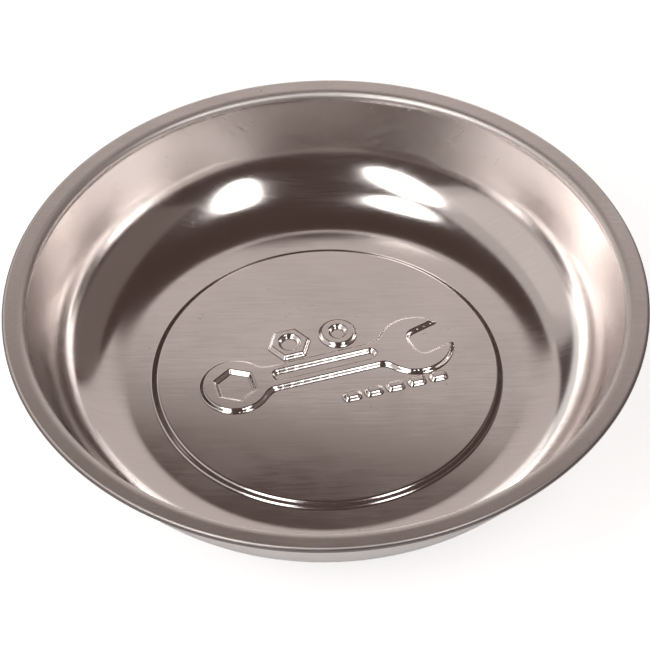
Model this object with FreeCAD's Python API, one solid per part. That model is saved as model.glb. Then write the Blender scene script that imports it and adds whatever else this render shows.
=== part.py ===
import FreeCAD, Part

import math
import os

# Magnetic parts tray: a pressed stainless dish on a rubber-booted ring magnet.
#
# The dish is one sheet of constant thickness, spun from a chain of lines and tangent arcs. Its
# floor carries a low round plateau, which is the seat of the magnet below, and the plateau
# carries pressed pictograms of a spanner, a nut and a washer. The ring magnet hangs under the
# plateau. A pressed steel plate with a central well holds it up, a rubber boot covers it, and a
# nut on a welded stud clamps the stack.
#
# Frame: millimetres, +Z up, origin at the centre of the boot's foot face.

V = FreeCAD.Vector

# ---- dish ----
tray_diameter = 150.0
dish_depth = 25.9          # lip's top to the floor
sheet = 0.6
lip_width = 2.4            # straight part of the lip, before the hem
lip_slope = 1.5            # the lip still climbs a little towards the hem
lip_ease_radius = 12.0     # the bend runs out wide into the lip
lip_ease_turn = 4.5
lip_bend_radius = 1.5
lip_neck = 0.8             # short steep length below the lip's bend
neck_angle = 78.0          # of the neck, from horizontal
neck_radius = 1.5          # soft crease between the neck and the wall
wall_angle = 70.0
corner_radius = 19.3       # floor to wall
hem_radius = 0.75          # outside of the folded edge
hem_return = 2.0
least_floor_flat = 1.0     # flat ring kept round the plateau

# ---- plateau, the magnet's seat ----
plateau_height = 1.2
plateau_bend_radius = 1.0
plateau_slope = 50.0
seat_clearance = 0.9       # boot to the plateau's bend

# ---- pressed pictograms, drawn for a plateau of this radius ----
pictogram_plateau_radius = 39.9
pictogram_height = 0.8
pictogram_draft = 0.35     # half the width of a pictogram's sloping side
pictogram_turn = 15.8      # the spanner's angle to +X
pictogram_offset = 2.0     # the spanner's middle from the dish's axis, along +Y

# ---- magnet and its plate ----
magnet_diameter = 72.0
magnet_bore = 32.0
magnet_thickness = 10.0
magnet_chamfer = 0.6
plate_thickness = 1.2
plate_overlap = 2.0        # the plate's edge inside the magnet's
plate_well_clearance = 1.0
plate_bend_radius = 1.8

# ---- boot ----
boot_wall = 2.8
boot_skin = 2.8
boot_web = 1.6             # under the plate's well
boot_lining = 1.7          # on the well's side
boot_clearance = 0.2
boot_edge_radius = 1.4
boot_mouth_chamfer = 1.6
boot_bead_height = 2.2
boot_bead = 0.4            # how far the top bead stands out of the wall
grip_grooves = 3
grip_groove_width = 1.2
grip_groove_depth = 0.6

# ---- fasteners ----
thread_diameter = 5.0
thread_clearance = 0.05
thread_chamfer = 0.4
stud_flange_radius = 3.8
stud_flange_thickness = 1.0
stud_end_proud = 0.5       # stud's end below the nut
nut_to_bench = 1.0
nut_across_flats = 8.0
nut_height = 4.0
lock_washer_diameter = 9.2
lock_washer_thickness = 1.2
lock_washer_gap = 0.8
penny_washer_diameter = 20.0
penny_washer_thickness = 1.2
washer_clearance = 0.15    # each side of the thread

# ---- heights, from the bench up ----
nut_top = nut_to_bench + nut_height
lock_washer_top = nut_top + lock_washer_thickness
penny_washer_top = lock_washer_top + penny_washer_thickness
web_top = penny_washer_top + boot_web
well_top = web_top + plate_thickness
flange_bottom = boot_skin
magnet_bottom = flange_bottom + plate_thickness
seat_bottom = magnet_bottom + magnet_thickness      # underside of the plateau
plateau_top = seat_bottom + sheet
floor_top = plateau_top - plateau_height
lip_top = floor_top + dish_depth

# ---- radii ----
tray_radius = tray_diameter / 2
magnet_radius = magnet_diameter / 2
bore_radius = magnet_bore / 2
thread_radius = thread_diameter / 2
boot_inner = magnet_radius + boot_clearance
boot_outer = boot_inner + boot_wall
plateau_radius = boot_outer + boot_bead + seat_clearance - boot_clearance * 2
plate_radius = magnet_radius - plate_overlap
well_outer = bore_radius - plate_well_clearance
well_inner = well_outer - plate_thickness
washer_bore = thread_radius + washer_clearance


def sin(degrees):
    return math.sin(math.radians(degrees))


def cos(degrees):
    return math.cos(math.radians(degrees))


def at(radius, height):
    return V(radius, 0, height)


def spin(edges):
    """Full turn about Z of a closed outline in the XZ plane."""
    face = Part.Face(Part.Wire(Part.__sortEdges__(edges)))
    return face.revolve(V(0, 0, 0), V(0, 0, 1), 360)


def outline(points):
    """Closed chain of straight edges through (radius, height) points."""
    corners = [at(*p) for p in points]
    return [Part.LineSegment(a, b).toShape() for a, b in zip(corners, corners[1:] + corners[:1])]


def ring(inner, outer, low, high):
    if inner == 0:
        return Part.makeCylinder(outer, high - low, V(0, 0, low))
    return spin(outline([(inner, low), (outer, low), (outer, high), (inner, high)]))


def travel(moves, heading):
    """Run and rise of a chain of moves that starts at a heading."""
    run = rise = 0.0
    for move in moves:
        if move[0] == "line":
            run += move[1] * cos(heading)
            rise += move[1] * sin(heading)
            continue
        radius, turn = move[1], move[2]
        side = 1 if turn > 0 else -1
        run += side * radius * (sin(heading + turn) - sin(heading))
        rise += side * radius * (cos(heading) - cos(heading + turn))
        heading += turn
    return run, rise


def walk(start, moves, offset):
    """Edges of a path of ("line", length) and ("arc", radius, turn) moves that starts along +X.

    A left turn is positive, in degrees. offset shifts the whole path to its right, as the far
    side of a sheet lies beside its near side.
    """
    x, z = start
    heading = 0.0
    edges = []

    def shifted(px, pz, angle):
        return at(px + offset * sin(angle), pz - offset * cos(angle))

    for move in moves:
        here = shifted(x, z, heading)
        if move[0] == "line":
            x += move[1] * cos(heading)
            z += move[1] * sin(heading)
            edges.append(Part.LineSegment(here, shifted(x, z, heading)).toShape())
            continue
        radius, turn = move[1], move[2]
        side = 1 if turn > 0 else -1
        cx = x - side * radius * sin(heading)
        cz = z + side * radius * cos(heading)

        def on_arc(angle):
            return cx + side * radius * sin(angle), cz - side * radius * cos(angle)

        middle, end = heading + turn / 2, heading + turn
        x, z = on_arc(end)
        if radius + side * offset > 1e-6:
            halfway = shifted(*on_arc(middle), middle)
            edges.append(Part.Arc(here, halfway, shifted(x, z, end)).toShape())
        heading = end
    return edges


def spin_sheet(start, moves, thickness):
    """A pressed sheet: its near side follows the moves, its far side lies below."""
    upper = walk(start, moves, 0.0)
    lower = walk(start, moves, thickness)
    ends = []
    for at_start in (True, False):
        pair = []
        for edges in (upper, lower):
            edge = edges[0] if at_start else edges[-1]
            pair.append(edge.valueAt(edge.FirstParameter if at_start else edge.LastParameter))
        ends.append(Part.LineSegment(*pair).toShape())
    return spin(upper + lower + ends)


def plateau_moves():
    """The plateau's side, from its flat down to the floor."""
    r, a = plateau_bend_radius, plateau_slope
    straight = (plateau_height - 2 * r * (1 - cos(a))) / sin(a)
    run = 2 * r * sin(a) + straight * cos(a)
    return [("arc", r, -a), ("line", straight), ("arc", r, a)], run


def dish_moves():
    """The dish's upper face, from the axis to the hem's end."""
    step, step_run = plateau_moves()
    rim = [
        ("arc", neck_radius, neck_angle - wall_angle),
        ("line", lip_neck),
        ("arc", lip_bend_radius, lip_slope + lip_ease_turn - neck_angle),
        ("arc", lip_ease_radius, -lip_ease_turn),
        ("line", lip_width),
    ]
    rim_run, rim_rise = travel(rim, wall_angle)
    wall_top_radius = tray_radius - hem_radius * (1 + sin(lip_slope)) - rim_run
    wall_rise = dish_depth - hem_radius * (1 - cos(lip_slope)) - rim_rise
    # The corner is as large as it can be with a flat ring left round the plateau.
    foot = plateau_radius + step_run + least_floor_flat
    corner_run = sin(wall_angle) - (1 - cos(wall_angle)) * cos(wall_angle) / sin(wall_angle)
    straight_run = wall_rise * cos(wall_angle) / sin(wall_angle)
    corner = min(
        corner_radius,
        (wall_top_radius - foot - straight_run) / corner_run,
        0.9 * wall_rise / (1 - cos(wall_angle)),
    )
    wall = (wall_rise - corner * (1 - cos(wall_angle))) / sin(wall_angle)
    floor_end = wall_top_radius - corner * sin(wall_angle) - wall * cos(wall_angle)
    return (
        [("line", plateau_radius)]
        + step
        + [
            ("line", floor_end - plateau_radius - step_run),
            ("arc", corner, wall_angle),
            ("line", wall),
        ]
        + rim
        + [("arc", hem_radius, -180.0), ("line", hem_return)]
    )


# ---- pictogram shapes: a disc is (x, y, radius), anything else a list of (x, y, corner radius) ----
mark_scale = plateau_radius / pictogram_plateau_radius


def disc(x, y, radius):
    return (x * mark_scale, y * mark_scale, radius * mark_scale)


def turned(corners, x, y, angle):
    return [
        ((x + px * cos(angle) - py * sin(angle)) * mark_scale,
         (y + px * sin(angle) + py * cos(angle)) * mark_scale,
         radius * mark_scale)
        for px, py, radius in corners
    ]


def bar(x, y, width, height, corner, angle=0.0):
    w, h = width / 2, height / 2
    return turned([(-w, -h, corner), (w, -h, corner), (w, h, corner), (-w, h, corner)], x, y, angle)


def hexagon(x, y, across_flats, corner, angle=0.0):
    r = across_flats / 2 / cos(30)
    return turned([(r * cos(60 * i), r * sin(60 * i), corner) for i in range(6)], x, y, angle)


# ---- pictograms: what is raised, and what is left flat inside it ----
dash_bars = 5
dash_first, dash_pitch, dash_y = 3.0, 5.3, -11.0
spanner = (
    [disc(-22.5, 0, 8.0), bar(0, 0, 34, 7.2, 0.9), disc(22.0, 0, 8.8)],
    [hexagon(-22.5, 0, 8.4, 0.5, 30), bar(-0.5, 0, 25, 2.7, 1.2), bar(29.0, 1.9, 16, 7.8, 2.4, 15)],
)
nut_mark = ([hexagon(-6.5, 9.3, 8.4, 0.8)], [disc(-6.5, 9.3, 2.3)])
washer_mark = ([disc(5.5, 9.3, 4.2)], [disc(5.5, 9.3, 1.9)])
dashes = ([bar(dash_first + dash_pitch * i, dash_y, 3.7, 2.2, 0.8) for i in range(dash_bars)], [])


def rounded_wire(corners, grow, z):
    """Closed wire of a corner list, every side moved outwards by grow, at height z."""
    n = len(corners)
    arcs = []
    for i, (x, y, radius) in enumerate(corners):
        before, after = corners[i - 1], corners[(i + 1) % n]
        ax, ay = x - before[0], y - before[1]
        bx, by = after[0] - x, after[1] - y
        la, lb = math.hypot(ax, ay), math.hypot(bx, by)
        ax, ay, bx, by = ax / la, ay / la, bx / lb, by / lb
        turn = math.atan2(ax * by - ay * bx, ax * bx + ay * by)
        back = radius * math.tan(turn / 2)
        cx = x - ax * back - ay * radius
        cy = y - ay * back + ax * radius
        start = math.atan2(-ax, ay)
        reach = radius + grow
        arcs.append([
            V(cx + reach * math.cos(start + turn * f), cy + reach * math.sin(start + turn * f), z)
            for f in (0, 0.5, 1)
        ])
    edges = []
    for i, (first, middle, last) in enumerate(arcs):
        edges.append(Part.Arc(first, middle, last).toShape())
        edges.append(Part.LineSegment(last, arcs[(i + 1) % n][0]).toShape())
    return Part.Wire(edges)


def tapered(shape, low, high, draft):
    """A shape's block, wider by draft all round at its foot and narrower at its top."""
    if isinstance(shape, tuple):
        x, y, radius = shape
        return Part.makeCone(radius + draft, radius - draft, high - low, V(x, y, low))
    return Part.makeLoft([rounded_wire(shape, draft, low), rounded_wire(shape, -draft, high)], True, True)


def relief(drop):
    """Every pictogram as a block, standing on the plateau's top or drop below it."""
    low = plateau_top - drop
    high = low + pictogram_height
    blocks = []
    for solids, hollows in (spanner, nut_mark, washer_mark, dashes):
        block, *others = [tapered(s, low, high, pictogram_draft) for s in solids]
        if others:
            block = block.fuse(others)
        for hollow in hollows:
            block = block.cut(tapered(hollow, low, high, -pictogram_draft))
        block.rotate(V(0, 0, 0), V(0, 0, 1), pictogram_turn)
        block.translate(V(0, pictogram_offset * mark_scale, 0))
        blocks.append(block)
    return blocks


def make_bowl():
    dish = spin_sheet((0.0, plateau_top), dish_moves(), sheet)
    # The sheet is pressed up, so each pictogram is raised above and hollow below.
    dish = dish.fuse(relief(0.0))
    return dish.cut(relief(sheet)).removeSplitter()


def make_weld_stud():
    flange_low = seat_bottom - stud_flange_thickness
    end = nut_to_bench - stud_end_proud
    stud = spin(outline([
        (0, end),
        (thread_radius - thread_chamfer, end),
        (thread_radius, end + thread_chamfer),
        (thread_radius, flange_low),
        (stud_flange_radius, flange_low),
        (stud_flange_radius, seat_bottom),
        (0, seat_bottom),
    ]))
    return stud


def make_ring_magnet():
    c = magnet_chamfer
    return spin(outline([
        (bore_radius + c, magnet_bottom), (magnet_radius - c, magnet_bottom),
        (magnet_radius, magnet_bottom + c), (magnet_radius, seat_bottom - c),
        (magnet_radius - c, seat_bottom), (bore_radius + c, seat_bottom),
        (bore_radius, seat_bottom - c), (bore_radius, magnet_bottom + c),
    ]))


def make_backing_plate():
    """Pressed plate: a floor round the stud, a well side, and a flange under the magnet."""
    r = plate_bend_radius
    rise = well_top - magnet_bottom
    well_floor = well_outer - r - washer_bore
    moves = [
        ("line", well_floor),
        ("arc", r, -90.0),
        ("line", rise - r - (r - plate_thickness)),
        ("arc", r - plate_thickness, 90.0),
        ("line", plate_radius - well_outer - (r - plate_thickness)),
    ]
    return spin_sheet((washer_bore, well_top), moves, plate_thickness)


def make_rubber_boot():
    """A cup round the magnet. Its middle rises into the plate's well and ends in a web."""
    lining_outer = well_inner - boot_clearance
    lining_inner = lining_outer - boot_lining
    mouth = boot_mouth_chamfer
    bead_low = seat_bottom - boot_bead_height
    crease = plate_bend_radius - plate_thickness
    body = spin(outline([
        (washer_bore, penny_washer_top),
        (lining_inner, penny_washer_top),
        (lining_inner, mouth),
        (lining_inner + mouth, 0),
        (boot_outer, 0),
        (boot_outer, bead_low),
        (boot_outer + boot_bead, bead_low + boot_bead),
        (boot_outer + boot_bead, seat_bottom),
        (boot_inner, seat_bottom),
        (boot_inner, magnet_bottom - boot_clearance),
        (plate_radius + boot_clearance, magnet_bottom - boot_clearance),
        (plate_radius + boot_clearance, flange_bottom),
        (lining_outer, flange_bottom),
        (lining_outer, web_top - crease),
        (lining_outer - crease, web_top),
        (washer_bore, web_top),
    ]))
    foot_edge = [e for e in body.Edges
                 if abs(e.BoundBox.ZMax) < 1e-6 and abs(e.BoundBox.XMax - boot_outer) < 1e-6]
    body = body.makeFillet(min(boot_edge_radius, boot_wall / 2), foot_edge)
    # Concentric grooves in the foot face, evenly spaced between the mouth and the edge.
    foot_inner = lining_inner + mouth
    foot_outer = boot_outer - boot_edge_radius
    pitch = (foot_outer - foot_inner) / (grip_grooves + 1)
    for i in range(grip_grooves):
        middle = foot_inner + pitch * (i + 1)
        inner, outer = middle - grip_groove_width / 2, middle + grip_groove_width / 2
        body = body.cut(ring(inner, outer, -1, grip_groove_depth))
    return body


def make_penny_washer():
    return ring(washer_bore, penny_washer_diameter / 2, lock_washer_top, penny_washer_top)


def make_lock_washer():
    """Split spring washer, clamped flat, with its slanting gap."""
    low, high = nut_top, lock_washer_top
    washer = ring(washer_bore, lock_washer_diameter / 2, low, high)
    gap = Part.makeBox(lock_washer_diameter, lock_washer_gap, 4 * (high - low),
                       V(0, -lock_washer_gap / 2, -2 * (high - low)))
    gap.rotate(V(0, 0, 0), V(1, 0, 0), 20)
    gap.translate(V(0, 0, (low + high) / 2))
    return washer.cut(gap)


def make_hex_nut():
    bore = thread_radius + thread_clearance
    corner = nut_across_flats / 2 / cos(30)
    points = [V(corner * cos(60 * i), corner * sin(60 * i), nut_to_bench) for i in range(7)]
    block = Part.Face(Part.makePolygon(points)).extrude(V(0, 0, nut_height))
    # Both faces are turned to a 30 degree chamfer, which leaves the round outline of a nut.
    slope = math.tan(math.radians(30))
    flat = nut_across_flats / 2 - 0.1
    drop = (corner + 0.5 - flat) * slope
    turned = spin(outline([
        (0, nut_to_bench), (flat, nut_to_bench), (corner + 0.5, nut_to_bench + drop),
        (corner + 0.5, nut_top - drop), (flat, nut_top), (0, nut_top),
    ]))
    nut = block.common(turned)
    nut = nut.cut(Part.makeCylinder(bore, nut_height, V(0, 0, nut_to_bench)))
    mouth = 0.4
    for low, high in ((bore + mouth, bore), (bore, bore + mouth)):
        z = nut_to_bench if low > high else nut_top - mouth
        nut = nut.cut(Part.makeCone(low, high, mouth, V(0, 0, z)))
    return nut


parts = {
    "bowl": make_bowl,
    "weld_stud": make_weld_stud,
    "ring_magnet": make_ring_magnet,
    "backing_plate": make_backing_plate,
    "rubber_boot": make_rubber_boot,
    "penny_washer": make_penny_washer,
    "lock_washer": make_lock_washer,
    "hex_nut": make_hex_nut,
}

os.makedirs("parts", exist_ok=True)
for name, make in parts.items():
    shape = make()
    shape.exportStep(f"parts/{name}.step")
    box = shape.optimalBoundingBox(True, False)
    print(f"{name}: {shape.Volume:.1f} mm3, valid {shape.isValid()}, solids {len(shape.Solids)}, "
          f"z {box.ZMin:.2f} to {box.ZMax:.2f}, r {box.XMax:.2f}")
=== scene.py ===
import math

import bmesh
import bpy
import numpy as np
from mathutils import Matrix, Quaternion, Vector
from mathutils.geometry import delaunay_2d_cdt


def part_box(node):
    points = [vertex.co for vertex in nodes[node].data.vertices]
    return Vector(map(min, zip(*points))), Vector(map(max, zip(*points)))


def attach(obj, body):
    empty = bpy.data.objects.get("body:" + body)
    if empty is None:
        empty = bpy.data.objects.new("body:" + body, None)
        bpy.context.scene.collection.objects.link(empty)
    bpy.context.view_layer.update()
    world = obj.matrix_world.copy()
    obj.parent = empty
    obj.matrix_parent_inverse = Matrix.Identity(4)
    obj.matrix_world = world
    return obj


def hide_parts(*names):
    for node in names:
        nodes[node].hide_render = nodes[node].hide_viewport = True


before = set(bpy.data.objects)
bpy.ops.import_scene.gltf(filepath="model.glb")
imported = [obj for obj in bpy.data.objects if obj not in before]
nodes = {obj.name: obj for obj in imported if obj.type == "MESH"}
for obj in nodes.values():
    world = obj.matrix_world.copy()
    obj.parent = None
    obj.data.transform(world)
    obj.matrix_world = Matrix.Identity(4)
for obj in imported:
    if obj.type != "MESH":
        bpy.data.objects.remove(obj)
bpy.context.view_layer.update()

mm = 0.001
weldDistance = 1e-6  # points closer than this, in metres, become one
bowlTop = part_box("bowl")[1]
rimRadius = bowlTop[0] / mm
lipTop = bowlTop[2] / mm
print("frame loaded, rim radius %.1f mm, lip at %.1f mm" % (rimRadius, lipTop))


# Outlines are chains of (r, z) points in millimetres, and angles are in degrees.
def arcPoints(cx, cz, radius, start, end, step):
    count = max(2, int(math.ceil(abs(end - start) / step)))
    angles = [math.radians(start + (end - start) * i / count) for i in range(count + 1)]
    return [(cx + radius * math.cos(a), cz + radius * math.sin(a)) for a in angles]


# Follows ("line", length) and ("arc", radius, turn, step) moves from start, heading along +X.
# A positive turn goes left, and offset shifts the whole path to its right.
def followPath(start, moves, offset=0.0, guard=0.15):
    x, z = start
    heading = 0.0
    points = []
    for move in moves:
        hx, hz = math.cos(math.radians(heading)), math.sin(math.radians(heading))
        ox, oz = offset * hz, -offset * hx
        if move[0] == "line":
            # guard points beside each end keep the shading of the flat flat
            length = move[1]
            spots = [0.0, guard, length - guard, length] if length >= 3 * guard else [0.0, length]
            points += [(x + s * hx + ox, z + s * hz + oz) for s in spots]
            x += length * hx
            z += length * hz
            continue
        radius, turn, step = move[1:]
        side = 1 if turn > 0 else -1
        cx, cz = x - side * radius * hz, z + side * radius * hx
        first = heading - 90 * side
        points += arcPoints(cx, cz, radius + side * offset, first, first + turn, step)
        heading += turn
        x, z = arcPoints(cx, cz, radius, first, first + turn, abs(turn))[-1]
    kept = points[:1]
    for p in points[1:]:
        if math.dist(p, kept[-1]) > 1e-5:
            kept.append(p)
    return kept


# How far a chain of moves goes from a heading, in x and in z.
def travel(moves, heading):
    dx = dz = 0.0
    for move in moves:
        a = math.radians(heading)
        if move[0] == "line":
            dx += move[1] * math.cos(a)
            dz += move[1] * math.sin(a)
            continue
        radius, turn = move[1:3]
        side = 1 if turn > 0 else -1
        heading += turn
        b = math.radians(heading)
        dx += side * radius * (math.sin(b) - math.sin(a))
        dz += side * radius * (math.cos(a) - math.cos(b))
    return dx, dz


# A closed outline of (r, z, corner radius) corners, each corner rounded as far as its sides allow.
def roundedOutline(corners, step, guard=0.12):
    most = 0.49  # of a side, for one corner
    points = []
    n = len(corners)
    for i, (r, z, radius) in enumerate(corners):
        before, after = corners[i - 1], corners[(i + 1) % n]
        ax, az = r - before[0], z - before[1]
        bx, bz = after[0] - r, after[1] - z
        la, lb = math.hypot(ax, az), math.hypot(bx, bz)
        ax, az, bx, bz = ax / la, az / la, bx / lb, bz / lb
        turn = math.atan2(ax * bz - az * bx, ax * bx + az * bz)
        side = 1 if turn > 0 else -1
        back = min(radius * math.tan(abs(turn) / 2), most * la, most * lb)
        radius = back / math.tan(abs(turn) / 2)
        cx, cz = r - ax * back - side * az * radius, z - az * back + side * ax * radius
        first = math.degrees(math.atan2(-side * ax, side * az))
        if la > 2 * back + 4 * guard:
            points.append((r - ax * (back + guard), z - az * (back + guard)))
        points += arcPoints(cx, cz, radius, first, first + math.degrees(turn), step)
        if lb > 2 * back + 4 * guard:
            points.append((r + bx * (back + guard), z + bz * (back + guard)))
    return points + points[:1]


def wire(tree, source, target):
    tree.links.new(source, target)


def mathStep(tree, operation, a, b=None, c=None):
    step = tree.nodes.new("ShaderNodeMath")
    step.operation = operation
    for socket, value in zip(step.inputs, (a, b, c)):
        if value is None:
            continue
        if isinstance(value, (int, float)):
            socket.default_value = value
        else:
            wire(tree, value, socket)
    return step.outputs[0]


threadShape = {"steep": 2.4, "crest": 1.0, "soften": 0.3, "shankShare": 0.97}


# Turns a profile, drawn as a chain of points in the XZ plane, about Z.
# A thread can be cut into it: a helical groove between two heights, fading out at its ends.
def buildLatheTree():
    shape = threadShape
    tree = bpy.data.node_groups.new("latheTree", "GeometryNodeTree")
    face = tree.interface
    face.new_socket("Profile", in_out="INPUT", socket_type="NodeSocketGeometry")
    face.new_socket("Steps Round", in_out="INPUT", socket_type="NodeSocketInt")
    for label in ("Thread Pitch", "Thread Depth", "Thread Low", "Thread High", "Thread Radius"):
        face.new_socket(label, in_out="INPUT", socket_type="NodeSocketFloat")
    face.new_socket("Material", in_out="INPUT", socket_type="NodeSocketMaterial")
    face.new_socket("Turned Shape", in_out="OUTPUT", socket_type="NodeSocketGeometry")
    make = tree.nodes.new
    given = make("NodeGroupInput")
    result = make("NodeGroupOutput")

    size = make("GeometryNodeAttributeDomainSize")
    wire(tree, given.outputs["Profile"], size.inputs["Geometry"])
    count = size.outputs["Point Count"]
    grid = make("GeometryNodeMeshGrid")
    grid.inputs["Size X"].default_value = 1.0
    grid.inputs["Size Y"].default_value = 1.0
    wire(tree, count, grid.inputs["Vertices X"])
    wire(tree, mathStep(tree, "ADD", given.outputs["Steps Round"], 1.0), grid.inputs["Vertices Y"])

    # along the grid's X is the profile's point, along its Y the angle
    place = make("ShaderNodeSeparateXYZ")
    wire(tree, make("GeometryNodeInputPosition").outputs[0], place.inputs[0])
    along = mathStep(tree, "ADD", place.outputs["X"], 0.5)
    last = mathStep(tree, "SUBTRACT", count, 1.0)
    index = mathStep(tree, "ROUND", mathStep(tree, "MULTIPLY", along, last))
    turn = mathStep(tree, "ADD", place.outputs["Y"], 0.5)
    angle = mathStep(tree, "MULTIPLY", turn, 2 * math.pi)
    sample = make("GeometryNodeSampleIndex")
    sample.data_type = "FLOAT_VECTOR"
    sample.clamp = True
    wire(tree, given.outputs["Profile"], sample.inputs["Geometry"])
    wire(tree, make("GeometryNodeInputPosition").outputs[0], sample.inputs["Value"])
    wire(tree, index, sample.inputs["Index"])
    spot = make("ShaderNodeSeparateXYZ")
    wire(tree, sample.outputs[0], spot.inputs[0])
    radius, height = spot.outputs["X"], spot.outputs["Z"]

    # the groove: a rounded V that climbs one pitch a turn
    pitch, shank = given.outputs["Thread Pitch"], given.outputs["Thread Radius"]
    climb = mathStep(tree, "SUBTRACT", mathStep(tree, "DIVIDE", height, pitch), turn)
    wave = mathStep(tree, "PINGPONG", climb, 0.5)
    groove = mathStep(tree, "MULTIPLY", wave, shape["steep"])
    groove = mathStep(tree, "SMOOTH_MIN", groove, shape["crest"], shape["soften"])
    fades = []
    for top, bottom in ((height, given.outputs["Thread Low"]), (given.outputs["Thread High"], height)):
        share = mathStep(tree, "DIVIDE", mathStep(tree, "SUBTRACT", top, bottom), pitch)
        fades.append(mathStep(tree, "MINIMUM", mathStep(tree, "MAXIMUM", share, 0.0), 1.0))
    onShank = mathStep(tree, "GREATER_THAN", radius, mathStep(tree, "MULTIPLY", shank, shape["shankShare"]))
    cut = mathStep(tree, "MULTIPLY", mathStep(tree, "SUBTRACT", 1.0, groove), given.outputs["Thread Depth"])
    for share in (mathStep(tree, "MULTIPLY", *fades), onShank):
        cut = mathStep(tree, "MULTIPLY", cut, share)
    radius = mathStep(tree, "SUBTRACT", radius, cut)

    around = make("ShaderNodeCombineXYZ")
    wire(tree, mathStep(tree, "MULTIPLY", radius, mathStep(tree, "COSINE", angle)), around.inputs["X"])
    wire(tree, mathStep(tree, "MULTIPLY", radius, mathStep(tree, "SINE", angle)), around.inputs["Y"])
    wire(tree, height, around.inputs["Z"])
    move = make("GeometryNodeSetPosition")
    wire(tree, grid.outputs["Mesh"], move.inputs["Geometry"])
    wire(tree, around.outputs[0], move.inputs["Position"])
    join = make("GeometryNodeMergeByDistance")
    join.inputs["Distance"].default_value = weldDistance
    wire(tree, move.outputs[0], join.inputs["Geometry"])
    smooth = make("GeometryNodeSetShadeSmooth")
    wire(tree, join.outputs[0], smooth.inputs["Geometry"])
    real = make("GeometryNodeRealizeInstances")
    wire(tree, smooth.outputs[0], real.inputs["Geometry"])
    paint = make("GeometryNodeSetMaterial")
    wire(tree, real.outputs[0], paint.inputs["Geometry"])
    wire(tree, given.outputs["Material"], paint.inputs["Material"])
    wire(tree, paint.outputs[0], result.inputs[0])
    return tree


latheTree = buildLatheTree()
print("lathe tree built")


# The holder's mesh with its modifier done. The holder itself is thrown away.
def plainMesh(name, holder):
    bpy.context.view_layer.update()
    evaluated = holder.evaluated_get(bpy.context.evaluated_depsgraph_get())
    mesh = bpy.data.meshes.new_from_object(evaluated)
    mesh.name = name
    drawn = holder.data
    bpy.data.objects.remove(holder)
    bpy.data.meshes.remove(drawn)
    return mesh


# Sizes in millimetres become metres here.
def turnOnLathe(name, outline, steps, material, thread=None):
    drawn = bpy.data.meshes.new(name + "Profile")
    drawn.from_pydata([(r * mm, 0, z * mm) for r, z in outline],
                      [(i, i + 1) for i in range(len(outline) - 1)], [])
    holder = bpy.data.objects.new(name + "Holder", drawn)
    bpy.context.scene.collection.objects.link(holder)
    modifier = holder.modifiers.new("lathe", "NODES")
    modifier.node_group = latheTree
    settings = {"Steps Round": steps, "Thread Pitch": 0.001, "Material": material}
    settings.update(thread or {})
    for item in latheTree.interface.items_tree:
        if item.item_type == "SOCKET" and item.in_out == "INPUT" and item.name in settings:
            modifier[item.identifier] = settings[item.name]
    return plainMesh(name, holder)


def finishPiece(name, mesh, material, node):
    shell = bmesh.new()
    shell.from_mesh(mesh)
    bmesh.ops.remove_doubles(shell, verts=shell.verts, dist=weldDistance)
    bmesh.ops.recalc_face_normals(shell, faces=shell.faces)
    for f in shell.faces:
        f.smooth = True
    shell.to_mesh(mesh)
    openEdges = sum(1 for e in shell.edges if len(e.link_faces) != 2)
    shell.free()
    mesh.materials.clear()
    mesh.materials.append(material)
    piece = bpy.data.objects.new(name, mesh)
    bpy.context.scene.collection.objects.link(piece)
    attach(piece, "root")
    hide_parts(node)
    triangles = sum(len(p.vertices) - 2 for p in mesh.polygons)
    print("%s: %d triangles, %d open edges" % (name, triangles, openEdges))


# One material's node tree, with a short word for each kind of node.
class Painter:
    def __init__(self, name):
        self.material = bpy.data.materials.new(name)
        self.material.use_nodes = True
        self.tree = self.material.node_tree
        self.shader = self.tree.nodes["Principled BSDF"]
        self.place = self.tree.nodes.new("ShaderNodeTexCoord").outputs["Object"]

    def stretched(self, scale, turn=(0, 0, 0)):
        node = self.tree.nodes.new("ShaderNodeMapping")
        node.inputs["Scale"].default_value = scale
        node.inputs["Rotation"].default_value = [math.radians(a) for a in turn]
        wire(self.tree, self.place, node.inputs["Vector"])
        return node.outputs[0]

    def noise(self, vector, scale, detail=2.0, rough=0.5):
        node = self.tree.nodes.new("ShaderNodeTexNoise")
        node.inputs["Scale"].default_value = scale
        node.inputs["Detail"].default_value = detail
        node.inputs["Roughness"].default_value = rough
        wire(self.tree, vector, node.inputs["Vector"])
        return node.outputs[0]

    def cells(self, vector, scale):
        node = self.tree.nodes.new("ShaderNodeTexVoronoi")
        node.inputs["Scale"].default_value = scale
        wire(self.tree, vector, node.inputs["Vector"])
        return node.outputs["Distance"]

    def between(self, value, low, high, newLow=0.0, newHigh=1.0):
        node = self.tree.nodes.new("ShaderNodeMapRange")
        node.inputs["From Min"].default_value = low
        node.inputs["From Max"].default_value = high
        node.inputs["To Min"].default_value = newLow
        node.inputs["To Max"].default_value = newHigh
        wire(self.tree, value, node.inputs["Value"])
        return node.outputs[0]

    def math(self, operation, a, b=None, c=None):
        return mathStep(self.tree, operation, a, b, c)

    def blend(self, factor, first, second):
        node = self.tree.nodes.new("ShaderNodeMix")
        node.data_type = "RGBA"
        wire(self.tree, factor, node.inputs["Factor"])
        for socket, value in ((node.inputs[6], first), (node.inputs[7], second)):
            if isinstance(value, tuple):
                socket.default_value = (*value, 1.0)
            else:
                wire(self.tree, value, socket)
        return node.outputs[2]

    def bump(self, height, depth, strength, below=None):
        node = self.tree.nodes.new("ShaderNodeBump")
        node.inputs["Strength"].default_value = strength
        node.inputs["Distance"].default_value = depth
        wire(self.tree, height, node.inputs["Height"])
        if below is not None:
            wire(self.tree, below, node.inputs["Normal"])
        return node.outputs[0]

    def link(self, value, socket):
        wire(self.tree, value, self.shader.inputs[socket])


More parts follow.
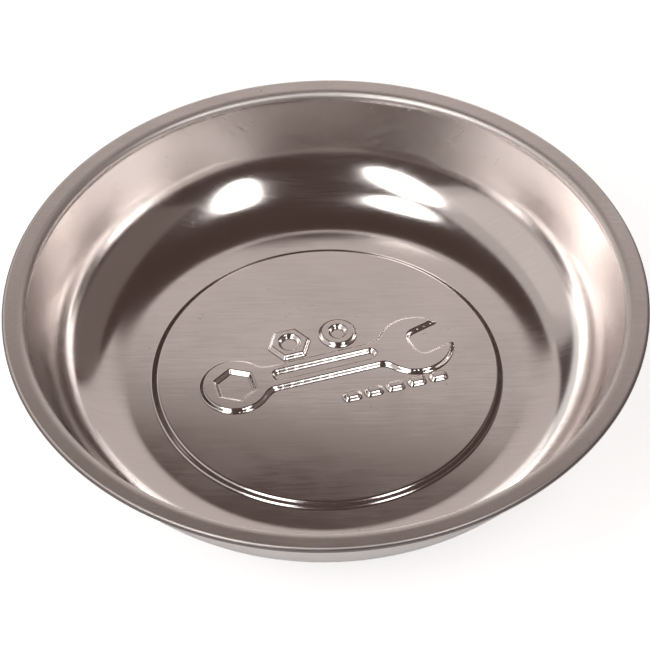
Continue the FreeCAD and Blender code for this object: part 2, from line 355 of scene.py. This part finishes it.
stainlessLook = {
    "base": (0.840, 0.797, 0.780),
    "worn": (0.790, 0.747, 0.730),
    "floorRoughness": 0.125,
    "wallRoughness": 0.23,
    "drawnFrom": 0.0625,  # the sheet turns duller where it was drawn hardest
    "drawnTo": 0.0675,
    "streakDepth": 0.0000012,
    "paintedHemShade": (0.30, 0.27, 0.26),  # painted shade: a dark line painted along the hem's fold
    "paintedHemShadeRadius": (rimRadius - 0.45) * mm,
    "paintedHemShadeFade": 0.0002,
    "bendRoughness": 0.42,  # the tool scuffed the sheet where it was bent tight
    "bendSpots": ((0.0692, 0.0697, 0.0708, 0.0714), (0.0740, 0.0743, 0.0760, 0.0770)),
    "grain": (110, 2600, 110),  # rolled along X, and stays so up the drawn wall
    "broadGrain": (10, 260, 10),
    "broadShare": 0.8,
    "cloud": 55.0,
    "fine": 5200.0,
    "fineDepth": 0.0000012,
    "uneven": (-0.02, 0.03),  # how far grain and clouds each move the roughness
    "pitSize": 900.0,
    "pitPatch": 300.0,
    "pit": (0.30, 0.24, 0.21),
    "pitDepth": 0.00002,
    "pitRoughness": 0.2,
}


def makeStainless():
    look = stainlessLook
    p = Painter("satinStainless")
    p.shader.inputs["Metallic"].default_value = 1.0
    grain = p.noise(p.stretched(look["grain"]), 1.0, 3.0, 0.6)
    broad = p.noise(p.stretched(look["broadGrain"]), 1.0, 2.0, 0.5)
    cloud = p.noise(p.place, look["cloud"], 4.0, 0.55)
    fine = p.noise(p.place, look["fine"], 2.0, 0.6)
    pits = p.between(p.cells(p.place, look["pitSize"]), 0.16, 0.06)
    pitted = p.math("MULTIPLY", pits, p.between(p.noise(p.place, look["pitPatch"], 1.0), 0.62, 0.68))

    spot = p.tree.nodes.new("ShaderNodeSeparateXYZ")
    wire(p.tree, p.place, spot.inputs[0])
    squares = [p.math("POWER", spot.outputs[axis], 2.0) for axis in ("X", "Y")]
    fromAxis = p.math("SQRT", p.math("ADD", *squares))
    drawn = p.between(fromAxis, look["drawnFrom"], look["drawnTo"])
    # mask for the painted shade: a dark band out from the hem's fold
    paintedHemShade = p.between(fromAxis, look["paintedHemShadeRadius"], look["paintedHemShadeRadius"] + look["paintedHemShadeFade"])

    tone = p.math("ADD", p.math("MULTIPLY", grain, 0.45), p.math("MULTIPLY", cloud, 0.55))
    colour = p.blend(p.between(tone, 0.35, 0.70), look["base"], look["worn"])
    colour = p.blend(pitted, colour, look["pit"])
    # painted shade: the hem's outer edge is darkened in the colour
    colour = p.blend(paintedHemShade, colour, look["paintedHemShade"])
    p.link(colour, "Base Color")

    rough = p.between(drawn, 0.0, 1.0, look["floorRoughness"], look["wallRoughness"])
    for start, full, ebb, end in look["bendSpots"]:
        scuffed = p.math("MULTIPLY", p.between(fromAxis, start, full), p.between(fromAxis, end, ebb))
        rough = p.math("MAXIMUM", rough, p.math("MULTIPLY", scuffed, look["bendRoughness"]))
    for pattern in (grain, cloud):
        rough = p.math("ADD", rough, p.between(pattern, 0.3, 0.7, *look["uneven"]))
    rough = p.math("ADD", rough, p.math("MULTIPLY", pitted, look["pitRoughness"]))
    p.link(rough, "Roughness")

    height = p.math("ADD", grain, p.math("MULTIPLY", broad, look["broadShare"]))
    normal = p.bump(height, look["streakDepth"], 0.5)
    normal = p.bump(fine, look["fineDepth"], 0.35, normal)
    normal = p.bump(p.math("SUBTRACT", 1.0, pitted), look["pitDepth"], 0.5, normal)
    p.link(normal, "Normal")
    return p.material


zincLook = {
    "base": (0.72, 0.73, 0.745),
    "dull": (0.52, 0.53, 0.54),
    "roughness": (0.28, 0.42),
    "spangle": 420.0,
    "spangleRoughness": (-0.04, 0.05),
    "cloud": 190.0,
    "fine": 2600.0,
    "depth": 0.000015,
}


def makeZinc():
    look = zincLook
    p = Painter("brightZinc")
    p.shader.inputs["Metallic"].default_value = 1.0
    spangle = p.cells(p.place, look["spangle"])
    cloud = p.noise(p.place, look["cloud"], 4.0, 0.6)
    fine = p.noise(p.place, look["fine"], 2.0, 0.6)
    p.link(p.blend(p.between(cloud, 0.35, 0.72), look["base"], look["dull"]), "Base Color")
    rough = p.between(cloud, 0.3, 0.7, *look["roughness"])
    p.link(p.math("ADD", rough, p.between(spangle, 0.0, 1.0, *look["spangleRoughness"])), "Roughness")
    p.link(p.bump(p.math("ADD", fine, p.math("MULTIPLY", spangle, 0.5)), look["depth"], 0.4), "Normal")
    return p.material


ferriteLook = {
    "dark": (0.045, 0.045, 0.048),
    "light": (0.095, 0.092, 0.090),
    "roughness": (0.45, 0.68),
    "grind": (60, 1400, 60),
    "grindTurn": (0, 0, 35),
    "mottle": 240.0,
    "depth": 0.00004,
}


def makeFerrite():
    look = ferriteLook
    p = Painter("groundFerrite")
    grind = p.noise(p.stretched(look["grind"], look["grindTurn"]), 1.0, 2.0)
    mottle = p.noise(p.place, look["mottle"], 5.0, 0.65)
    p.link(p.blend(p.between(mottle, 0.35, 0.7), look["dark"], look["light"]), "Base Color")
    p.link(p.between(p.math("ADD", grind, mottle), 0.7, 1.3, *look["roughness"]), "Roughness")
    p.link(p.bump(p.math("ADD", grind, mottle), look["depth"], 0.4), "Normal")
    return p.material


rubberLook = {
    "base": (0.017, 0.017, 0.018),
    "bloom": (0.050, 0.050, 0.052),
    "dust": (0.16, 0.155, 0.15),
    "dustShare": 0.5,
    "roughness": (0.52, 0.72),
    "shine": 0.42,
    "bloomSize": 70.0,
    "skinSize": 1500.0,
    "dustSize": 2600.0,
    "depth": 0.00005,
}


def makeRubber():
    look = rubberLook
    p = Painter("mouldedRubber")
    p.shader.inputs["Specular IOR Level"].default_value = look["shine"]
    bloom = p.noise(p.place, look["bloomSize"], 5.0, 0.6)
    skin = p.noise(p.place, look["skinSize"], 3.0, 0.6)
    dust = p.between(p.noise(p.place, look["dustSize"], 1.0), 0.68, 0.74)
    colour = p.blend(p.between(bloom, 0.38, 0.75), look["base"], look["bloom"])
    p.link(p.blend(p.math("MULTIPLY", dust, look["dustShare"]), colour, look["dust"]), "Base Color")
    p.link(p.between(bloom, 0.3, 0.7, *look["roughness"]), "Roughness")
    p.link(p.bump(skin, look["depth"], 0.35), "Normal")
    return p.material


stainless, zinc, ferrite, rubber = makeStainless(), makeZinc(), makeFerrite(), makeRubber()
print("materials made")

# the dish, in millimetres and degrees
dish = {
    "depth": 25.9,  # from the lip's top to the floor
    "sheet": 0.6,
    "seatRadius": 39.9,
    "seatHeight": 1.2,
    "seatBend": 1.0,
    "seatSlope": 50.0,
    "cornerRadius": 19.3,
    "wallAngle": 70.0,
    "neckAngle": 78.0,
    "neckRadius": 1.5,
    "neckLength": 0.8,
    "lipBend": 1.5,
    "lipEaseRadius": 12.0,  # the bend runs out wide into the lip
    "lipEaseTurn": 4.5,
    "lipSlope": 1.5,  # the lip still climbs a little towards the hem
    "lipWidth": 2.4,
    "hemRadius": 0.75,
    "hemReturn": 2.0,
    "stepsRound": 288,
    "reliefRadius": 38.6,  # inside it the seat is a sheet of its own, with the pictograms
}


# The dish's upper face, from the relief's edge out over the rim and back under it.
def dishMoves():
    d = dish
    bend, drop = d["seatBend"], math.radians(d["seatSlope"])
    straight = (d["seatHeight"] - 2 * bend * (1 - math.cos(drop))) / math.sin(drop)
    stepRun = 2 * bend * math.sin(drop) + straight * math.cos(drop)
    rim = [
        ("arc", d["neckRadius"], d["neckAngle"] - d["wallAngle"], 2),
        ("line", d["neckLength"]),
        ("arc", d["lipBend"], d["lipSlope"] + d["lipEaseTurn"] - d["neckAngle"], 6),
        ("arc", d["lipEaseRadius"], -d["lipEaseTurn"], 1),
        ("line", d["lipWidth"]),
    ]
    rimRun, rimRise = travel(rim, d["wallAngle"])
    wall, lip = math.radians(d["wallAngle"]), math.radians(d["lipSlope"])
    wallTop = rimRadius - d["hemRadius"] * (1 + math.sin(lip)) - rimRun
    wallRise = d["depth"] - d["hemRadius"] * (1 - math.cos(lip)) - rimRise
    corner = d["cornerRadius"]
    wallLength = (wallRise - corner * (1 - math.cos(wall))) / math.sin(wall)
    floorEnd = wallTop - corner * math.sin(wall) - wallLength * math.cos(wall)
    return [
        ("line", d["seatRadius"] - d["reliefRadius"]),
        ("arc", bend, -d["seatSlope"], 5),
        ("line", straight),
        ("arc", bend, d["seatSlope"], 5),
        ("line", floorEnd - d["seatRadius"] - stepRun),
        ("arc", corner, d["wallAngle"], 2),
        ("line", wallLength),
    ] + rim + [
        ("arc", d["hemRadius"], -180.0, 12),
        ("line", d["hemReturn"]),
    ]


seatTop = lipTop - dish["depth"] + dish["seatHeight"]
upper, lower = [followPath((dish["reliefRadius"], seatTop), dishMoves(), gap) for gap in (0.0, dish["sheet"])]
dishMesh = turnOnLathe("dishWall", upper + lower[::-1], dish["stepsRound"], stainless)
print("dish turned from %d profile points" % (len(upper) + len(lower)))

# the pressed pictograms on the seat
marks = {
    "height": 0.8,
    "slopeWidth": 1.0,
    "guard": 0.14,
    "rings": 7,
    "turn": 15.8,
    "offsetY": 2.0,
    "cell": 0.30,
    "patch": ((-36, 36), (-24, 24)),
    "near": 0.02,  # points closer than this are joined
    "gridShift": (0.013, 0.017),  # keeps edges that lie along X or Y off the grid's own lines
    "ringEnd": (-22.5, 0, 8.0),
    "shaft": (0, 0, 34, 7.2, 0.9),
    "jawEnd": (22.0, 0, 8.8),
    "join": 2.0,  # how softly the ends run into the shaft
    "soft": 0.8,
    "crisp": 0.24,
    "hexHole": (-22.5, 0, 8.4, 30),
    "shaftHollow": (-0.5, 0, 25, 2.7, 1.2),
    "jaw": (29.0, 1.9, 16, 7.8, 2.4, 15),
    "nut": (-6.5, 9.3, 8.4),
    "nutHole": (-6.5, 9.3, 2.3),
    "washer": (5.5, 9.3, 4.2),
    "washerHole": (5.5, 9.3, 1.9),
    "bars": [(3.0 + 5.3 * i, -11.0, 3.7, 2.2, 0.8) for i in range(5)],
}


# Each field is the distance to a shape's edge, negative inside.
def discField(x, y, cx, cy, radius):
    return np.hypot(x - cx, y - cy) - radius


def turned(x, y, angle):
    c, s = math.cos(math.radians(angle)), math.sin(math.radians(angle))
    return x * c + y * s, -x * s + y * c


def barField(x, y, cx, cy, width, height, corner, angle=0.0):
    u, v = turned(x - cx, y - cy, angle)
    a, b = np.abs(u) - width / 2 + corner, np.abs(v) - height / 2 + corner
    return np.hypot(np.maximum(a, 0), np.maximum(b, 0)) + np.minimum(np.maximum(a, b), 0) - corner


def hexField(x, y, cx, cy, acrossFlats, angle=0.0):
    u, v = (np.abs(a) for a in turned(x - cx, y - cy, angle))
    return np.maximum(math.sqrt(3) / 2 * u + 0.5 * v, v) - acrossFlats / 2


def softUnion(a, b, k):
    h = np.clip(0.5 + 0.5 * (b - a) / k, 0, 1)
    return b * (1 - h) + a * h - k * h * (1 - h)


def softCut(a, hollow, k):
    return -softUnion(-a, hollow, k)


# Distance to the nearest pictogram's edge.
def markField(px, py):
    m = marks
    x, y = turned(px, py - m["offsetY"], m["turn"])
    spanner = softUnion(discField(x, y, *m["ringEnd"]), barField(x, y, *m["shaft"]), m["join"])
    spanner = softUnion(spanner, discField(x, y, *m["jawEnd"]), m["join"])
    spanner = softCut(spanner, hexField(x, y, *m["hexHole"]), m["crisp"])
    spanner = softCut(spanner, barField(x, y, *m["shaftHollow"]), m["crisp"])
    spanner = softCut(spanner, barField(x, y, *m["jaw"]), m["soft"])
    nut = softCut(hexField(x, y, *m["nut"]), discField(x, y, *m["nutHole"]), m["crisp"])
    washer = softCut(discField(x, y, *m["washer"]), discField(x, y, *m["washerHole"]), m["crisp"])
    field = np.minimum(np.minimum(spanner, nut), washer)
    for bar in m["bars"]:
        field = np.minimum(field, barField(x, y, *bar))
    return field


# The line where the field has one value, as points and edges, by marching over a square grid.
def levelLine(field, xs, ys, level):
    least = 0.06  # of a cell, from a crossing to a grid point
    value = field - level
    inside = value < 0
    points, index, edges = [], {}, []

    def crossing(a, b):
        key = (a, b)
        if key not in index:
            va, vb = value[a], value[b]
            t = min(max(va / (va - vb), least), 1 - least)
            index[key] = len(points)
            points.append((xs[a[1]] + t * (xs[b[1]] - xs[a[1]]), ys[a[0]] + t * (ys[b[0]] - ys[a[0]])))
        return index[key]

    total = inside[:-1, :-1].astype(int) + inside[1:, :-1] + inside[:-1, 1:] + inside[1:, 1:]
    for row, col in zip(*np.nonzero((total > 0) & (total < 4))):
        corners = [(row, col), (row, col + 1), (row + 1, col + 1), (row + 1, col)]
        hits = []
        for n in range(4):
            a, b = corners[n], corners[(n + 1) % 4]
            if inside[a] != inside[b]:
                hits.append(crossing(min(a, b), max(a, b)))
        for n in range(0, len(hits), 2):
            edges.append((hits[n], hits[n + 1]))
    return points, edges


# The seat's inner sheet: its points, the height of each above the seat, and its triangles.
def markLayer():
    half, guard, rings = marks["slopeWidth"] / 2, marks["guard"], marks["rings"]
    patch = zip(marks["patch"], marks["gridShift"])
    xs, ys = [np.arange(*span, marks["cell"]) + shift for span, shift in patch]
    field = markField(*np.meshgrid(xs, ys))
    levels = [(half + guard, 0.0)]
    for i in range(rings + 1):
        share = i / rings
        ease = share * share * (3 - 2 * share)
        levels.append((half - 2 * half * share, marks["height"] * ease))
    levels.append((-half - guard, marks["height"]))
    steps, radius = dish["stepsRound"], dish["reliefRadius"]
    turns = [2 * math.pi * i / steps for i in range(steps)]
    points = [(radius * math.cos(a), radius * math.sin(a)) for a in turns]
    heights = [0.0] * steps
    edges = [(i, (i + 1) % steps) for i in range(steps)]
    for level, height in levels:
        ring, ringEdges = levelLine(field, xs, ys, level)
        start = len(points)
        points += ring
        heights += [height] * len(ring)
        edges += [(a + start, b + start) for a, b in ringEdges]
    net = delaunay_2d_cdt([Vector(p) for p in points], edges, [], 0, marks["near"])
    flat, triangles, origins = net[0], net[2], net[3]
    return flat, [heights[o[0]] if o else 0.0 for o in origins], triangles


flat, raised, triangles = markLayer()
body = bmesh.new()
body.from_mesh(dishMesh)
for drop in (0.0, dish["sheet"]):
    made = [body.verts.new((p.x * mm, p.y * mm, (seatTop - drop + h) * mm)) for p, h in zip(flat, raised)]
    for tri in triangles:
        body.faces.new([made[i] for i in tri])
body.to_mesh(dishMesh)
body.free()
finishPiece("dish", dishMesh, stainless, "bowl")

boot = {
    "bead": 0.4,
    "beadLow": 1.8,  # below the boot's top
    "beadTaper": 0.4,
    "beadRound": 0.35,
    "wall": 2.8,
    "skin": 2.8,
    "ledge": (34.2, 3.8),  # radius and height of the step that the plate's edge lies in
    "well": 13.6,
    "lining": 11.9,
    "web": (7.4, 9.0),
    "hole": 2.65,
    "mouth": 1.6,
    "footRound": 1.4,
    "wellRound": 0.6,
    "edge": 0.2,
    "grooves": 3,
    "grooveWidth": 1.2,
    "grooveDepth": 0.6,
    "grooveRound": (0.18, 0.22),
    "arcStep": 15,
    "stepsRound": 240,
}


def bootOutline():
    b = boot
    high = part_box("rubber_boot")[1]
    outer, top = high[0] / mm, high[2] / mm
    wallOut = outer - b["bead"]
    inner = wallOut - b["wall"]
    webLow, webHigh = b["web"]
    ledge, ledgeTop = b["ledge"]
    mouth, edge = b["lining"] + b["mouth"], b["edge"]
    corners = [(b["hole"], webLow, edge), (b["lining"], webLow, 0.5), (b["lining"], b["mouth"], 0.8),
               (mouth, 0.0, b["wellRound"])]
    pitch = (wallOut - b["footRound"] - mouth) / (b["grooves"] + 1)
    lipRound, rootRound = b["grooveRound"]
    for i in range(b["grooves"]):
        middle, half = mouth + pitch * (i + 1), b["grooveWidth"] / 2
        corners += [(middle - half, 0.0, lipRound), (middle - half, b["grooveDepth"], rootRound),
                    (middle + half, b["grooveDepth"], rootRound), (middle + half, 0.0, lipRound)]
    beadLow = top - b["beadLow"]
    corners += [(wallOut, 0.0, b["footRound"]), (wallOut, beadLow - b["beadTaper"], 0.3),
                (outer, beadLow, edge), (outer, top, b["beadRound"]), (inner, top, edge),
                (inner, ledgeTop, edge), (ledge, ledgeTop, 0.1), (ledge, b["skin"], edge),
                (b["well"], b["skin"], 0.3), (b["well"], webHigh, b["wellRound"]), (b["hole"], webHigh, edge)]
    return roundedOutline(corners, b["arcStep"])


bootMesh = turnOnLathe("boot", bootOutline(), boot["stepsRound"], rubber)
finishPiece("boot", bootMesh, rubber, "rubber_boot")

stud = {
    "radius": 2.5,
    "flange": 3.8,
    "flangeThick": 1.0,
    "flangeEdge": 0.1,
    "chamfer": 0.4,
    "point": 0.55,
    "pitch": 0.8,
    "depth": 0.40,
    "threadGap": 0.5,  # from the thread's end to the flange
    "pointStep": 0.08,
    "stepsRound": 48,
}


def studOutline(low, high):
    s = stud
    radius, flange, edge = s["radius"], s["flange"], s["flangeEdge"]
    flangeLow, start = high - s["flangeThick"], low + s["chamfer"]
    tip = [(0, low), (radius - s["point"], low), (radius - s["chamfer"], low + 0.04)]
    count = int((flangeLow - start) / s["pointStep"])
    shank = [(radius, start + i * s["pointStep"]) for i in range(count)]
    head = [(radius, flangeLow), (flange - edge, flangeLow), (flange, flangeLow + edge),
            (flange, high), (0, high)]
    return tip + shank + head


studLow, studHigh = (c[2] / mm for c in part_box("weld_stud"))
threadHigh = studHigh - stud["flangeThick"] - stud["threadGap"]
studThread = {
    "Thread Pitch": stud["pitch"] * mm,
    "Thread Depth": stud["depth"] * mm,
    "Thread Low": (studLow - 1) * mm,  # it runs off the stud's end
    "Thread High": threadHigh * mm,
    "Thread Radius": stud["radius"] * mm,
}
studMesh = turnOnLathe("stud", studOutline(studLow, studHigh), stud["stepsRound"], zinc, studThread)
finishPiece("stud", studMesh, zinc, "weld_stud")

for name, material in (("ring_magnet", ferrite), ("backing_plate", zinc), ("penny_washer", zinc),
                       ("lock_washer", zinc), ("hex_nut", zinc)):
    for place in nodes[name].material_slots:
        place.material = material
print("frame nodes painted")

floorLook = {
    "size": 4.0,
    "gap": 0.00003,  # below the foot, so that the two faces don't flicker
    "paint": (0.86, 0.86, 0.87),
    "roughness": 0.9,
    "shine": 0.1,
    "glow": 0.12,  # what the metal mirrors
    "seenGlow": 0.66,  # what the camera sees
}


def layFloor():
    look = floorLook
    mesh = bpy.data.meshes.new("floor")
    half, z = look["size"] / 2, -look["gap"]
    corners = [(-half, -half, z), (half, -half, z), (half, half, z), (-half, half, z)]
    mesh.from_pydata(corners, [], [(0, 1, 2, 3)])
    paint = bpy.data.materials.new("paleFloor")
    paint.use_nodes = True
    tree = paint.node_tree
    shader = tree.nodes["Principled BSDF"]
    shader.inputs["Base Color"].default_value = (*look["paint"], 1)
    shader.inputs["Roughness"].default_value = look["roughness"]
    shader.inputs["Specular IOR Level"].default_value = look["shine"]
    shader.inputs["Emission Color"].default_value = (1, 1, 1, 1)
    # lit from below like a light table
    seen = tree.nodes.new("ShaderNodeLightPath").outputs["Is Camera Ray"]
    glow = mathStep(tree, "MULTIPLY_ADD", seen, look["seenGlow"] - look["glow"], look["glow"])
    wire(tree, glow, shader.inputs["Emission Strength"])
    # clear from below, so the foot can be looked at
    mix = tree.nodes.new("ShaderNodeMixShader")
    wire(tree, tree.nodes.new("ShaderNodeNewGeometry").outputs["Backfacing"], mix.inputs[0])
    wire(tree, shader.outputs[0], mix.inputs[1])
    wire(tree, tree.nodes.new("ShaderNodeBsdfTransparent").outputs[0], mix.inputs[2])
    wire(tree, mix.outputs[0], tree.nodes["Material Output"].inputs["Surface"])
    mesh.materials.append(paint)
    floor = bpy.data.objects.new("floor", mesh)
    bpy.context.scene.collection.objects.link(floor)


layFloor()

# a light tent's white sides, an open dark top, and three round soft boxes in front
studio = {
    "air": (0.069, 0.044, 0.037),
    "seen": (1.0, 1.0, 1.0),
    # place and turn are taken from the lip's centre; the last is what a mirror would show
    # all but right and farLeft were placed by a fitting program, from the photo's reflections
    "panels": {
        "back": ((0.127, 0.549, 0.274), (-86.5, -26.4, 13.3), (0.685, 0.632), (0.490, 0.448, 0.425)),
        "low": ((0.110, 1.437, 0.401), (-65.1, -6.8, 39.9), (3.0, 0.171), (0.74, 0.75, 0.73)),
        "left": ((-0.423, -0.114, 0.241), (-49.8, 23.7, 72.9), (0.814, 0.535), (0.430, 0.402, 0.386)),
        "right": ((2.53, 0.45, 1.55), (58.8, 0.0, 100.0), (4.2, 1.8), (0.095, 0.083, 0.078)),
        "farLeft": ((-2.57, 0.0, 1.55), (58.8, 0.0, -90.0), (3.4, 1.8), (0.149, 0.131, 0.126)),
        "boxRight": ((0.281, -0.282, 0.554), (-60.6, 61.4, -84.3), (0.582, 0.217), (3.90, 3.80, 3.70)),
        "boxLeft": ((-0.445, -0.649, 0.778), (94.7, -39.3, -73.0), (0.620, 0.837), (4.50, 4.42, 4.33)),
        "boxTop": ((-0.357, -0.215, 1.241), (52.8, -25.0, -83.6), (0.575, 0.439), (3.60, 3.54, 3.46)),
    },
}


def hangPanel(name, place, turn, size, radiance):
    lamp = bpy.data.lights.new(name, "AREA")
    lamp.shape = "ELLIPSE" if name.startswith("box") else "RECTANGLE"
    lamp.size, lamp.size_y = size
    strength = max(radiance)
    lamp.color = [c / strength for c in radiance]
    area = size[0] * size[1] * (math.pi / 4 if lamp.shape == "ELLIPSE" else 1.0)
    lamp.energy = strength * math.pi * area
    holder = bpy.data.objects.new(name, lamp)
    holder.location = (place[0], place[1], place[2] + lipTop * mm)
    holder.rotation_euler = [math.radians(a) for a in turn]
    bpy.context.scene.collection.objects.link(holder)


for name, panel in studio["panels"].items():
    hangPanel(name, *panel)


def buildAir():
    world = bpy.data.worlds.new("studio")
    bpy.context.scene.world = world
    world.use_nodes = True
    tree = world.node_tree
    tree.nodes.clear()
    lit = tree.nodes.new("ShaderNodeBackground")
    lit.inputs["Color"].default_value = (*studio["air"], 1)
    plain = tree.nodes.new("ShaderNodeBackground")
    plain.inputs["Color"].default_value = (*studio["seen"], 1)
    choose = tree.nodes.new("ShaderNodeMixShader")
    wire(tree, tree.nodes.new("ShaderNodeLightPath").outputs["Is Camera Ray"], choose.inputs[0])
    wire(tree, lit.outputs[0], choose.inputs[1])
    wire(tree, plain.outputs[0], choose.inputs[2])
    wire(tree, choose.outputs[0], tree.nodes.new("ShaderNodeOutputWorld").inputs["Surface"])


buildAir()
bpy.context.scene.view_settings.view_transform = "Standard"
print("studio set")

# solved from the outlines of the rim and the seat in the photo
view = {
    "distance": 0.850,  # from the middle of the lip
    "elevation": 46.404,
    "roll": -1.285,
    "lens": 203.3,
    "shift": (-0.0006, -0.0381),
    "clip": (0.01, 20),
}
lens = bpy.data.cameras.new("camera")
lens.lens = view["lens"]
lens.shift_x, lens.shift_y = view["shift"]
lens.clip_start, lens.clip_end = view["clip"]
camera = bpy.data.objects.new("camera", lens)
bpy.context.scene.collection.objects.link(camera)
tilt = math.radians(view["elevation"])
back = Vector((0, -math.cos(tilt), math.sin(tilt)))
camera.location = Vector((0, 0, lipTop * mm)) + back * view["distance"]
camera.rotation_mode = "QUATERNION"
camera.rotation_quaternion = back.to_track_quat("Z", "Y")
camera.rotation_quaternion.rotate(Quaternion(back, math.radians(view["roll"])))
bpy.context.scene.camera = camera

print("done")
